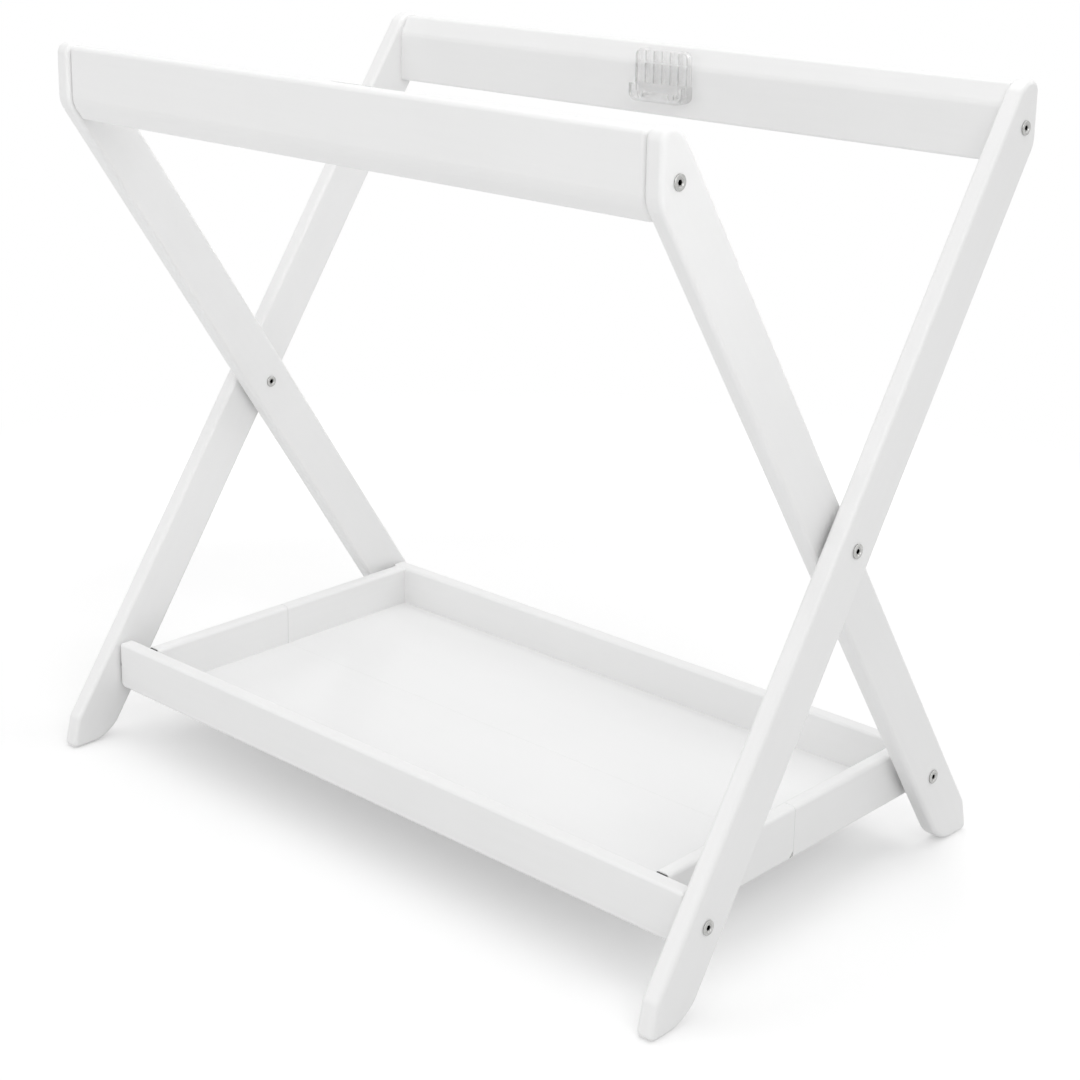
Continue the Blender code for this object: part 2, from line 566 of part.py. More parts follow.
def hinge(side, sign, front, back):
    """A butt hinge let into the underside of an end rail: two leaves whose knuckles share one pin."""
    low = sign * END_RAIL_MIDDLE - HINGE_WIDTH / 2
    knuckle = HINGE_WIDTH / 3
    top = TRAY_UNDERSIDE + HINGE_LEAF_THICK
    barrel = KNUCKLE_DIAMETER / 2
    for half, facing, carrier, spans in (
            ("front", -1, front, ((0, 1), (2, 3))), ("back", 1, back, ((1, 2),))):
        name = f"{half}_hinge_leaf_{side}"
        far = facing * (HINGE_LEAF_LENGTH + barrel)
        near = facing * barrel
        plate = board_mesh(name, box_outline(
            low, low + HINGE_WIDTH, *sorted((far, near + facing * KNUCKLE_GAP))), "z",
            TRAY_UNDERSIDE, top)
        leaf = add(name, plate, STEEL, (0, 0, 0), carrier)
        for index, (first, last) in enumerate(spans):
            start = low + first * knuckle + (KNUCKLE_GAP / 2 if first else 0)
            stop = low + last * knuckle - (KNUCKLE_GAP / 2 if last < 3 else 0)
            curl = rod_mesh(f"{name}_knuckle_{index}", barrel, start, stop)
            cut(leaf, cutter(f"{name}_knuckle_{index}", curl, (0, 0, TRAY_UNDERSIDE), carrier), "UNION")
            web = board_mesh(f"{name}_web_{index}", box_outline(
                *sorted((near - facing * JOIN_OVERLAP, near + facing * (KNUCKLE_GAP + JOIN_OVERLAP))),
                TRAY_UNDERSIDE, top), "x", start, stop)
            cut(leaf, cutter(f"{name}_web_{index}", web, (0, 0, 0), carrier), "UNION")
        bore = rod_mesh(name + "_pin_bore", HINGE_PIN_DIAMETER / 2 + CLEAR,
                        low - CUT_PAST, low + HINGE_WIDTH + CUT_PAST)
        cut(leaf, cutter(name + "_pin_bore", bore, (0, 0, TRAY_UNDERSIDE), carrier))
    pin = rod_mesh(f"hinge_pin_{side}", HINGE_PIN_DIAMETER / 2, low - CLEAR, low + HINGE_WIDTH + CLEAR)
    add(f"hinge_pin_{side}", pin, STEEL, (0, 0, TRAY_UNDERSIDE), front)


def bracket(half, facing, turn, carrier):
    """A clear moulded bracket on a rail's inner face: a cup at the foot of an upright that is ribbed behind.
    Its own Y runs from the rail's face to the lip of the cup."""
    name = f"{half}_bracket"
    high = RAIL_TOP - BRACKET_BELOW_RAIL_TOP
    low = high - BRACKET_HEIGHT
    collar = low + BRACKET_COLLAR_HEIGHT
    wide = BRACKET_WIDTH / 2
    wing = wide + BRACKET_COLLAR_OVERHANG
    lip_in = BRACKET_STAND_OFF + BRACKET_POCKET
    depth = lip_in + BRACKET_WALL
    pocket_middle = BRACKET_STAND_OFF + BRACKET_POCKET / 2
    inner_face = facing * (RAIL_INNER_FACE - CLEAR)

    def front_view(part, corners, start, stop):
        return board_mesh(f"{name}_{part}", rounded_outline(corners), "y", start, stop)

    def change(part, mesh, operation="DIFFERENCE"):
        cut(body, cutter(f"{name}_{part}", mesh, (0, inner_face, 0), carrier, turn), operation)

    def box(part, left, right, bottom, top, start, stop):
        return front_view(part, [(left, bottom, 0), (right, bottom, 0), (right, top, 0), (left, top, 0)],
                          start, stop)

    body = add(name, front_view("collar", [
        (-wing, low, BRACKET_COLLAR_CORNER), (wing, low, BRACKET_COLLAR_CORNER),
        (wing, collar, 0), (-wing, collar, 0)], 0.0, depth), CLEAR_PLASTIC, (0, inner_face, 0), carrier, turn)
    cup = wing - BRACKET_WALL
    change("cup", front_view("cup", [
        (-cup, low + BRACKET_WALL, BRACKET_COLLAR_CORNER - BRACKET_WALL),
        (cup, low + BRACKET_WALL, BRACKET_COLLAR_CORNER - BRACKET_WALL),
        (cup, collar + CUT_PAST, 0), (-cup, collar + CUT_PAST, 0)], BRACKET_STAND_OFF, lip_in))
    lip = wing - BRACKET_LIP_END
    change("lip", box("lip", -lip, lip, low + BRACKET_LIP_HEIGHT, collar + CUT_PAST,
                      pocket_middle, depth + CUT_PAST))
    change("upright", front_view("upright", [
        (-wide, collar - BRACKET_WALL, 0), (wide, collar - BRACKET_WALL, 0),
        (wide, high, BRACKET_CORNER), (-wide, high, BRACKET_CORNER)],
        CLEAR, BRACKET_STAND_OFF - CLEAR), "UNION")
    hollow = wide - BRACKET_WALL
    change("hollow", front_view("hollow", [
        (-hollow, collar + CLEAR, 0), (hollow, collar + CLEAR, 0),
        (hollow, high - BRACKET_WALL, BRACKET_CORNER - BRACKET_WALL),
        (-hollow, high - BRACKET_WALL, BRACKET_CORNER - BRACKET_WALL)],
        -CUT_PAST, BRACKET_STAND_OFF - BRACKET_WALL))
    rib = BRACKET_RIB_THICK / 2
    skin = BRACKET_STAND_OFF - BRACKET_WALL / 2
    first = -BRACKET_RIB_SPACING * (BRACKET_RIBS - 1) / 2
    for index in range(BRACKET_RIBS):
        middle = first + index * BRACKET_RIB_SPACING
        change(f"rib_{index}", box(f"rib_{index}", middle - rib, middle + rib, collar - BRACKET_WALL / 2,
                                   high - BRACKET_WALL / 2, 2 * CLEAR, skin), "UNION")
    ledge = high - BRACKET_LEDGE_DROP
    change("ledge", box("ledge", -wide + BRACKET_WALL / 2, wide - BRACKET_WALL / 2, ledge - rib, ledge + rib,
                        3 * CLEAR, skin - CLEAR), "UNION")

    height = low + BRACKET_SCREW_HEIGHT
    notch = BRACKET_NOTCH_WIDTH / 2
    hole = rod_mesh(name + "_screw_hole", SCREW_DIAMETER / 2 + CLEAR, -CUT_PAST, pocket_middle)
    under_head = BRACKET_STAND_OFF + CLEAR
    screw = turned_mesh(name + "_screw", [
        (-SCREW_LENGTH, 0), (-SCREW_LENGTH + SCREW_DIAMETER, SCREW_DIAMETER / 2),
        (under_head, SCREW_DIAMETER / 2), (under_head, SCREW_HEAD_DIAMETER / 2),
        (under_head + SCREW_HEAD_HEIGHT / 2, SCREW_HEAD_DIAMETER / 2),
        (under_head + SCREW_HEAD_HEIGHT, 0)])
    pilot = rod_mesh(name + "_pilot", SCREW_DIAMETER / 2 + CLEAR, -SCREW_LENGTH - BORE_PAST_BOLT, CUT_PAST)
    spin = turn + math.pi / 2
    rail = bpy.data.objects[f"{half}_top_rail"]
    for side, sign in (("left", -1), ("right", 1)):
        at = sign * BRACKET_SCREW_SPACING / 2
        place = (at, inner_face, height)
        change(f"notch_{side}", front_view(f"notch_{side}", [
            (at - notch, height - notch, notch), (at + notch, height - notch, notch),
            (at + notch, collar + CUT_PAST, 0), (at - notch, collar + CUT_PAST, 0)],
            pocket_middle, depth + CUT_PAST))
        cut(body, cutter(f"{name}_screw_hole_{side}", hole, place, carrier, spin))
        cut(rail, cutter(f"{name}_pilot_{side}", pilot, place, carrier, spin))
        add(f"{half}_bracket_screw_{side}", screw, STEEL, place, carrier, spin)


def build():
    clear_scene()
    outer = holder("outer_frame", (0, 0, 0))
    inner = holder("inner_frame_axis", (0, 0, PIVOT_HEIGHT), outer)
    front_tray = holder("front_tray_axis", (0, -TRAY_BOLT_OUT, TRAY_BOLT_HEIGHT), outer)
    back_tray = holder("back_tray_axis", (0, 0, TRAY_UNDERSIDE), front_tray)

    leg_pair("outer", OUTER_LEG_OUT - LEG_THICK / 2, 0.0, outer, BOLT_DIAMETER / 2 + BOLT_HOLE_PLAY)
    leg_pair("inner", INNER_LEG_OUT - LEG_THICK / 2, math.pi, inner, BARREL_DIAMETER / 2 + CLEAR)
    top_rail("outer", "back_top_rail", OUTER_LEG_IN, 1, 0.0, OUTER_LEG_OUT, outer)
    top_rail("inner", "front_top_rail", INNER_LEG_IN, -1, math.pi, INNER_LEG_OUT, inner)
    pivots(outer)

    tray_half("front", -1, OUTER_LEG_IN, OUTER_LEG_OUT, front_tray, front_tray, False)
    tray_half("back", 1, INNER_LEG_IN, INNER_LEG_OUT, back_tray, inner, True)
    hinge("left", -1, front_tray, back_tray)
    hinge("right", 1, front_tray, back_tray)

    bracket("back", 1, math.pi, outer)
    bracket("front", -1, 0.0, inner)


build()
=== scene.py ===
# Folding bassinet stand in white painted wood
# X along the stand, Y to the back, Z up, metres
import json
import math

import bmesh
import bpy
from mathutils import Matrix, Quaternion, Vector


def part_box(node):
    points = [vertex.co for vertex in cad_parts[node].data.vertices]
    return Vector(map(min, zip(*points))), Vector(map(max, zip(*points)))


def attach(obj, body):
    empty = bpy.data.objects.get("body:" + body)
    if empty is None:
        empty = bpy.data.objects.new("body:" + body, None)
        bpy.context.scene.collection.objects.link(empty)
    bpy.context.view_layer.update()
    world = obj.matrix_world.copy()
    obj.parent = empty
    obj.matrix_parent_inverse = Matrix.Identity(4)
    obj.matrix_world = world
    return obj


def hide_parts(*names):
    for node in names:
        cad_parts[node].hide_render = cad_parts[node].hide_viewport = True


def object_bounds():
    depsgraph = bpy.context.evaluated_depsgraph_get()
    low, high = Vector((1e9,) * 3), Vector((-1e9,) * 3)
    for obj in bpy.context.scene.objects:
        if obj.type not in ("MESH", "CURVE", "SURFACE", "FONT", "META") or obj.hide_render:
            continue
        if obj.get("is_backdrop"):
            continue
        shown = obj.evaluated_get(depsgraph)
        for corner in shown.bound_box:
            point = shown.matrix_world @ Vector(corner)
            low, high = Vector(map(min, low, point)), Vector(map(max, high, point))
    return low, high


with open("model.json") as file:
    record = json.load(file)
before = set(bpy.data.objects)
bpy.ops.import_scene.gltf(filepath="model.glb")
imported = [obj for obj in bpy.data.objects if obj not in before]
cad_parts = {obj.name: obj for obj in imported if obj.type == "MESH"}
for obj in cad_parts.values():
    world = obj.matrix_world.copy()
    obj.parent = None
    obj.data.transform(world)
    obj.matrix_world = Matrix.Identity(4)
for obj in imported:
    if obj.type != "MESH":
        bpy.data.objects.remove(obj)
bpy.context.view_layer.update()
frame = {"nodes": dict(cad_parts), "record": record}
nodes = frame["nodes"]
print("frame loaded:", len(nodes), "nodes")

# places shared by several pieces, most of them from the frame
legIn, legOut = (corner.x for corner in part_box("outer_leg_right"))
innerLegIn, innerLegOut = (corner.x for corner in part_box("inner_leg_right"))
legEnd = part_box("outer_leg_right")[1].z
pivotHeight = 0.3545
lean = math.radians(33.7)  # of each leg from upright
overcut = 0.01  # how far a cutter reaches past what it cuts
overlap = 0.001  # how deep a joined piece starts inside the other


# modelling helpers

def same(a, b):  # the same place on one axis
    return abs(a - b) < 1e-6


def deselectAll():
    if bpy.context.object and bpy.context.object.mode != "OBJECT":
        bpy.ops.object.mode_set(mode="OBJECT")
    bpy.ops.object.select_all(action="DESELECT")


def pickOnly(piece):
    deselectAll()
    piece.select_set(True)
    bpy.context.view_layer.objects.active = piece


def settle(piece, name):
    piece.name = name
    piece.data.name = name
    bpy.ops.object.transform_apply(location=True, rotation=True, scale=True)
    return piece


def addBlock(name, low, high, turnX=0.0):
    deselectAll()
    low, high = Vector(low), Vector(high)
    bpy.ops.mesh.primitive_cube_add(size=1, location=(low + high) / 2, rotation=(turnX, 0, 0))
    bpy.context.object.scale = high - low
    return settle(bpy.context.object, name)


def addRound(name, radius, low, high, sides=48, at=(0, 0)):  # a cylinder along X
    deselectAll()
    bpy.ops.mesh.primitive_cylinder_add(vertices=sides, radius=radius, depth=high - low,
                                        location=((low + high) / 2, *at), rotation=(0, math.pi / 2, 0))
    return settle(bpy.context.object, name)


def openMesh(piece, kind="EDGE"):
    pickOnly(piece)
    bpy.ops.object.mode_set(mode="EDIT")
    bpy.ops.mesh.select_mode(type=kind)
    bpy.ops.mesh.select_all(action="DESELECT")
    return bmesh.from_edit_mesh(piece.data)


def closeMesh():
    bpy.ops.object.mode_set(mode="OBJECT")


def pickEdges(piece, test):
    mesh = openMesh(piece)
    picked = [edge for edge in mesh.edges if test(edge.verts[0].co, edge.verts[1].co)]
    for edge in picked:
        edge.select_set(True)
    mesh.select_flush_mode()
    bmesh.update_edit_mesh(piece.data)
    return picked


def pickFaces(piece, test):
    mesh = openMesh(piece, "FACE")
    picked = [face for face in mesh.faces if test(face.calc_center_median(), face.normal)]
    for face in picked:
        face.select_set(True)
    mesh.select_flush_mode()
    bmesh.update_edit_mesh(piece.data)
    return picked


def roundEdges(piece, test, width, steps=3):
    pickEdges(piece, test)
    bpy.ops.mesh.bevel(offset=width, segments=steps, profile=0.5, affect="EDGES")
    closeMesh()


def roundCorner(piece, along, place, radius, steps):  # the edge along one axis that is nearest to a place
    others = [axis for axis in range(3) if axis != along]

    def away(edge):
        middle = (edge.verts[0].co + edge.verts[1].co) / 2
        run = edge.verts[1].co - edge.verts[0].co
        if abs(run[along]) < run.length * 0.999:  # it runs another way
            return math.inf
        return sum((middle[axis] - at) ** 2 for axis, at in zip(others, place))

    mesh = openMesh(piece)
    edge = min(mesh.edges, key=away)
    width = radius * math.tan(edge.calc_face_angle() / 2)
    edge.select_set(True)
    mesh.select_flush_mode()
    bmesh.update_edit_mesh(piece.data)
    bpy.ops.mesh.bevel(offset=width, segments=steps, profile=0.5, affect="EDGES")
    closeMesh()


def sliceOff(piece, point, normal):
    openMesh(piece)
    bpy.ops.mesh.select_all(action="SELECT")
    bpy.ops.mesh.bisect(plane_co=point, plane_no=normal, use_fill=True, clear_outer=True)
    closeMesh()


def applyStep(piece, kind, **settings):
    pickOnly(piece)
    step = piece.modifiers.new(kind.title(), kind)
    for name, value in settings.items():
        setattr(step, name, value)
    bpy.ops.object.modifier_apply(modifier=step.name)


def joinOn(piece, other, operation):  # other is used up
    applyStep(piece, "BOOLEAN", operation=operation, solver="EXACT", object=other)
    bpy.data.objects.remove(other, do_unlink=True)


def smoothOff(piece, angle=38.0):
    pickOnly(piece)
    bpy.ops.object.shade_smooth_by_angle(angle=math.radians(angle))
    applyStep(piece, "WEIGHTED_NORMAL", keep_sharp=True, weight=60)


def copyPiece(piece, name, shift=(0, 0, 0), halfTurn=False):
    pickOnly(piece)
    bpy.ops.object.duplicate(linked=False)
    copied = bpy.context.object
    if halfTurn:
        bpy.ops.transform.rotate(value=math.pi, orient_axis="Z", center_override=(0, 0, 0))
    bpy.ops.transform.translate(value=shift)
    return settle(copied, name)


def fit(piece, body, slot, material, *stoodFor):
    piece.data.materials.clear()
    piece.data.materials.append(material)
    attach(piece, body)
    if stoodFor:
        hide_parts(*stoodFor)


# materials

def addNode(tree, kind, at, **settings):
    node = tree.nodes.new(kind)
    node.location = at
    for name, value in settings.items():
        setattr(node, name, value)
    return node


def newSurface(name):
    made = bpy.data.materials.new(name)
    made.use_nodes = True
    tree = made.node_tree
    shader = tree.nodes["Principled BSDF"]
    shader.location = (300, 0)
    tree.nodes["Material Output"].location = (620, 0)
    where = addNode(tree, "ShaderNodeTexCoord", (-900, 0))
    turned = addNode(tree, "ShaderNodeMapping", (-700, 0))
    tree.links.new(where.outputs["Object"], turned.inputs["Vector"])
    return made, tree, shader, turned


filmMix = {"stretch": 0.06, "grainShare": 0.45, "toneFrom": 0.48, "toneTo": 0.98, "peelShare": 0.35,
           "depth": 0.0002}


def buildFilmGroup():  # paint or a smooth facing: cloudy tone, faint grain under it, fine peel on top
    group = bpy.data.node_groups.new("surfaceFilm", "ShaderNodeTree")
    face = group.interface
    face.new_socket("Vector", in_out="INPUT", socket_type="NodeSocketVector")
    for name, value in (("Light Tone", (0.87, 0.87, 0.87, 1)), ("Dark Tone", (0.8, 0.8, 0.8, 1))):
        face.new_socket(name, in_out="INPUT", socket_type="NodeSocketColor").default_value = value
    for name, value in (("Cloud Scale", 6.0), ("Grain Scale", 60.0), ("Peel Scale", 900.0),
                        ("Roughness", 0.36), ("Roughness Spread", 0.08), ("Relief", 0.2)):
        face.new_socket(name, in_out="INPUT", socket_type="NodeSocketFloat").default_value = value
    face.new_socket("Color", in_out="OUTPUT", socket_type="NodeSocketColor")
    face.new_socket("Roughness", in_out="OUTPUT", socket_type="NodeSocketFloat")
    face.new_socket("Normal", in_out="OUTPUT", socket_type="NodeSocketVector")
    given = addNode(group, "NodeGroupInput", (-900, 0))
    result = addNode(group, "NodeGroupOutput", (900, 0))
    link = group.links.new

    cloud = addNode(group, "ShaderNodeTexNoise", (-600, 300))
    cloud.inputs["Detail"].default_value = 3.0
    link(given.outputs["Vector"], cloud.inputs["Vector"])
    link(given.outputs["Cloud Scale"], cloud.inputs["Scale"])

    stretched = addNode(group, "ShaderNodeMapping", (-600, 0))
    stretched.inputs["Scale"].default_value = (filmMix["stretch"], 1.0, 1.0)  # grain runs along X
    link(given.outputs["Vector"], stretched.inputs["Vector"])
    grain = addNode(group, "ShaderNodeTexNoise", (-400, 0))
    grain.inputs["Detail"].default_value = 5.0
    grain.inputs["Roughness"].default_value = 0.6
    link(stretched.outputs["Vector"], grain.inputs["Vector"])
    link(given.outputs["Grain Scale"], grain.inputs["Scale"])

    peel = addNode(group, "ShaderNodeTexNoise", (-400, -300))
    peel.inputs["Detail"].default_value = 1.0
    link(given.outputs["Vector"], peel.inputs["Vector"])
    link(given.outputs["Peel Scale"], peel.inputs["Scale"])

    blend = addNode(group, "ShaderNodeMath", (-150, 250), operation="MULTIPLY_ADD")
    link(grain.outputs["Fac"], blend.inputs[0])
    blend.inputs[1].default_value = filmMix["grainShare"]
    link(cloud.outputs["Fac"], blend.inputs[2])
    tone = addNode(group, "ShaderNodeMapRange", (50, 250))
    tone.inputs["From Min"].default_value = filmMix["toneFrom"]
    tone.inputs["From Max"].default_value = filmMix["toneTo"]
    link(blend.outputs["Value"], tone.inputs["Value"])
    colour = addNode(group, "ShaderNodeMix", (300, 250), data_type="RGBA")
    link(tone.outputs["Result"], colour.inputs["Factor"])
    link(given.outputs["Light Tone"], colour.inputs["A"])
    link(given.outputs["Dark Tone"], colour.inputs["B"])
    link(colour.outputs["Result"], result.inputs["Color"])

    centred = addNode(group, "ShaderNodeMath", (50, 0), operation="SUBTRACT")
    link(cloud.outputs["Fac"], centred.inputs[0])
    centred.inputs[1].default_value = 0.5
    spread = addNode(group, "ShaderNodeMath", (300, 0), operation="MULTIPLY_ADD")
    link(centred.outputs["Value"], spread.inputs[0])
    link(given.outputs["Roughness Spread"], spread.inputs[1])
    link(given.outputs["Roughness"], spread.inputs[2])
    link(spread.outputs["Value"], result.inputs["Roughness"])

    height = addNode(group, "ShaderNodeMath", (50, -250), operation="MULTIPLY_ADD")
    link(peel.outputs["Fac"], height.inputs[0])
    height.inputs[1].default_value = filmMix["peelShare"]
    link(grain.outputs["Fac"], height.inputs[2])
    bump = addNode(group, "ShaderNodeBump", (300, -250))
    bump.inputs["Distance"].default_value = filmMix["depth"]
    link(given.outputs["Relief"], bump.inputs["Strength"])
    link(height.outputs["Value"], bump.inputs["Height"])
    link(bump.outputs["Normal"], result.inputs["Normal"])
    return group


surfaceFilm = buildFilmGroup()
socketShade = {"tone": (0.015, 0.015, 0.015, 1), "closed": 0.45, "open": 0.92}


def filmSurface(name, look):
    made, tree, shader, turned = newSurface(name)
    turned.inputs["Rotation"].default_value = look.get("turn", (0, 0, 0))
    film = addNode(tree, "ShaderNodeGroup", (0, 0), node_tree=surfaceFilm)
    tree.links.new(turned.outputs["Vector"], film.inputs["Vector"])
    for socket in ("Light Tone", "Dark Tone"):
        film.inputs[socket].default_value = (*look[socket], 1)
    for socket in ("Cloud Scale", "Grain Scale", "Peel Scale", "Roughness", "Roughness Spread", "Relief"):
        film.inputs[socket].default_value = look[socket]
    tree.links.new(film.outputs["Color"], shader.inputs["Base Color"])
    tree.links.new(film.outputs["Roughness"], shader.inputs["Roughness"])
    tree.links.new(film.outputs["Normal"], shader.inputs["Normal"])
    shader.inputs["Metallic"].default_value = look.get("metallic", 0.0)
    shader.inputs["IOR"].default_value = look.get("ior", 1.5)
    shader.inputs["Transmission Weight"].default_value = look.get("clear", 0.0)
    if "recess" in look:  # painted shade down in a socket: the colour darkens by how closed in a point is
        closed = addNode(tree, "ShaderNodeAmbientOcclusion", (-200, 500), samples=8, only_local=True)
        closed.inputs["Distance"].default_value = look["recess"]
        clearOf = addNode(tree, "ShaderNodeMapRange", (0, 500), interpolation_type="SMOOTHSTEP")
        clearOf.inputs["From Min"].default_value = socketShade["closed"]
        clearOf.inputs["From Max"].default_value = socketShade["open"]
        tree.links.new(closed.outputs["AO"], clearOf.inputs["Value"])
        shaded = addNode(tree, "ShaderNodeMix", (160, 300), data_type="RGBA")
        shaded.inputs["A"].default_value = socketShade["tone"]
        tree.links.new(clearOf.outputs["Result"], shaded.inputs["Factor"])
        tree.links.new(film.outputs["Color"], shaded.inputs["B"])
        tree.links.new(shaded.outputs["Result"], shader.inputs["Base Color"])
    if "veil" in look:  # how much of the shader is seen, and how much of it darkens a shadow
        path = addNode(tree, "ShaderNodeLightPath", (-200, -400))
        veil = addNode(tree, "ShaderNodeMapRange", (0, -400))
        veil.inputs["To Min"].default_value, veil.inputs["To Max"].default_value = look["veil"]
        tree.links.new(path.outputs["Is Shadow Ray"], veil.inputs["Value"])
        tree.links.new(veil.outputs["Result"], shader.inputs["Alpha"])
    return made


paintLook = {"Light Tone": (0.885, 0.885, 0.883), "Dark Tone": (0.862, 0.862, 0.86), "Cloud Scale": 7.0,
             "Grain Scale": 190.0, "Peel Scale": 1400.0, "Roughness": 0.36, "Roughness Spread": 0.10,
             "Relief": 0.16}
quarter = math.pi / 2
outerLegPaint = filmSurface("white_paint_outer_legs", {**paintLook, "turn": (lean, quarter, 0)})
innerLegPaint = filmSurface("white_paint_inner_legs", {**paintLook, "turn": (-lean, quarter, 0)})
railPaint = filmSurface("white_paint_rails", paintLook)
endRailPaint = filmSurface("white_paint_end_rails", {**paintLook, "turn": (0, 0, -quarter)})
panelWhite = filmSurface("white_faced_panel", {
    "Light Tone": (0.888, 0.888, 0.888), "Dark Tone": (0.875, 0.875, 0.875), "Cloud Scale": 4.0,
    "Grain Scale": 60.0, "Peel Scale": 700.0, "Roughness": 0.22, "Roughness Spread": 0.06, "Relief": 0.05})
nickel = filmSurface("dull_nickel", {
    "Light Tone": (0.56, 0.56, 0.55), "Dark Tone": (0.42, 0.42, 0.41), "Cloud Scale": 260.0,
    "Grain Scale": 900.0, "Peel Scale": 3000.0, "Roughness": 0.30, "Roughness Spread": 0.16, "Relief": 0.18,
    "metallic": 1.0, "recess": 0.004})
brass = filmSurface("turned_brass", {
    "Light Tone": (0.74, 0.58, 0.30), "Dark Tone": (0.60, 0.44, 0.20), "Cloud Scale": 200.0,
    "Grain Scale": 900.0, "Peel Scale": 2500.0, "Roughness": 0.35, "Roughness Spread": 0.12, "Relief": 0.15,
    "metallic": 1.0})
beech = filmSurface("bare_beech", {
    "Light Tone": (0.70, 0.52, 0.34), "Dark Tone": (0.55, 0.37, 0.21), "Cloud Scale": 90.0,
    "Grain Scale": 700.0, "Peel Scale": 2500.0, "Roughness": 0.62, "Roughness Spread": 0.15, "Relief": 0.5})
nylon = filmSurface("grey_nylon", {
    "Light Tone": (0.34, 0.34, 0.35), "Dark Tone": (0.27, 0.27, 0.28), "Cloud Scale": 120.0,
    "Grain Scale": 500.0, "Peel Scale": 3000.0, "Roughness": 0.5, "Roughness Spread": 0.12, "Relief": 0.2})
# near-black, a painted shade for the slits at the front end rails
slitShadeBlack = filmSurface("painted_slit_shade", {
    "Light Tone": (0.035, 0.035, 0.036), "Dark Tone": (0.022, 0.022, 0.023), "Cloud Scale": 120.0,
    "Grain Scale": 500.0, "Peel Scale": 3000.0, "Roughness": 0.6, "Roughness Spread": 0.1, "Relief": 0.2})
clearPlastic = filmSurface("clear_moulding", {
    "Light Tone": (0.95, 0.95, 0.95), "Dark Tone": (0.92, 0.92, 0.92), "Cloud Scale": 60.0,
    "Grain Scale": 150.0, "Peel Scale": 500.0, "Roughness": 0.05, "Roughness Spread": 0.03, "Relief": 0.03,
    "ior": 1.49, "clear": 1.0, "veil": (0.62, 0.53)})
print("materials made")


# legs

leg = {"width": 0.051, "toe": 0.014, "toeLean": 0.2309, "face": 0.24327,
       "toeRadius": 0.0056, "heelRadius": 0.040, "bendRadius": 0.024, "topOuterRadius": 0.0105,
       "topInnerRadius": 0.022, "toeBendRadius": 0.012, "edge": 0.0045,
       "bore": 0.0029, "bores": ("outer_top_bolt_right", "pivot_bolt_right", "front_tray_bolt_right")}


def makeLeg():
    half = leg["width"] / 2 / math.cos(lean)
    slope = math.tan(lean)
    reach = legEnd * 0.8  # longer than the leg, both ends are sliced off
    bar = addBlock("outer_leg_right_painted", (legIn, -leg["width"] / 2, pivotHeight - reach),
                   (legOut, leg["width"] / 2, pivotHeight + reach), -lean)
    toe = -pivotHeight * slope - half + leg["toe"]
    sliceOff(bar, (0, 0, 0), (0, 0, -1))
    sliceOff(bar, (0, 0, legEnd), (0, 0, 1))
    sliceOff(bar, (0, leg["face"], 0), (0, 1, 0))
    sliceOff(bar, (0, toe, 0), (0, -1, leg["toeLean"]))
    toeBend = leg["toe"] / (slope - leg["toeLean"])
    bend = pivotHeight + (leg["face"] - half) / slope
    top = (legEnd - pivotHeight) * slope - half
    for place, radius, steps in (
            ((toe, 0), leg["toeRadius"], 8),
            ((-pivotHeight * slope + half, 0), leg["heelRadius"], 14),
            ((leg["face"], bend), leg["bendRadius"], 14),
            ((leg["face"], legEnd), leg["topOuterRadius"], 10),
            ((top, legEnd), leg["topInnerRadius"], 12),
            ((toe + leg["toeLean"] * toeBend, toeBend), leg["toeBendRadius"], 8)):
        roundCorner(bar, 0, place, radius, steps)
    roundEdges(bar, lambda a, b: same(a.x, b.x) and (same(a.x, legIn) or same(a.x, legOut)),
               leg["edge"], 6)
    for node in leg["bores"]:  # so that the sockets in the bolts can be seen into
        low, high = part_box(node)
        joinOn(bar, addRound("bore", leg["bore"], legIn - overcut, legOut + overcut, 32,
                             ((low.y + high.y) / 2, (low.z + high.z) / 2)), "DIFFERENCE")
    smoothOff(bar)
    return bar


outerRight = makeLeg()
outerLeft = copyPiece(outerRight, "outer_leg_left_painted", (-legOut - legIn, 0, 0))
innerLeft = copyPiece(outerRight, "inner_leg_left_painted", (legOut - innerLegOut, 0, 0), True)
innerRight = copyPiece(innerLeft, "inner_leg_right_painted", (innerLegOut + innerLegIn, 0, 0))
for piece, name in ((outerRight, "outer_leg_right"), (outerLeft, "outer_leg_left")):
    fit(piece, "outer_frame", "white_painted_wood", outerLegPaint, name)
for piece, name in ((innerRight, "inner_leg_right"), (innerLeft, "inner_leg_left")):
    fit(piece, "inner_frame", "white_painted_wood", innerLegPaint, name)
print("legs made")


# top rails

topRail = {"inset": 0.002, "crease": 0.019, "relief": 0.010, "bendRadius": 0.022, "footRadius": 0.003,
           "topRadius": 0.004, "creaseRadius": 0.014, "intoLeg": 0.0001, "endEase": 0.0058,
           "easeFrom": 0.011}


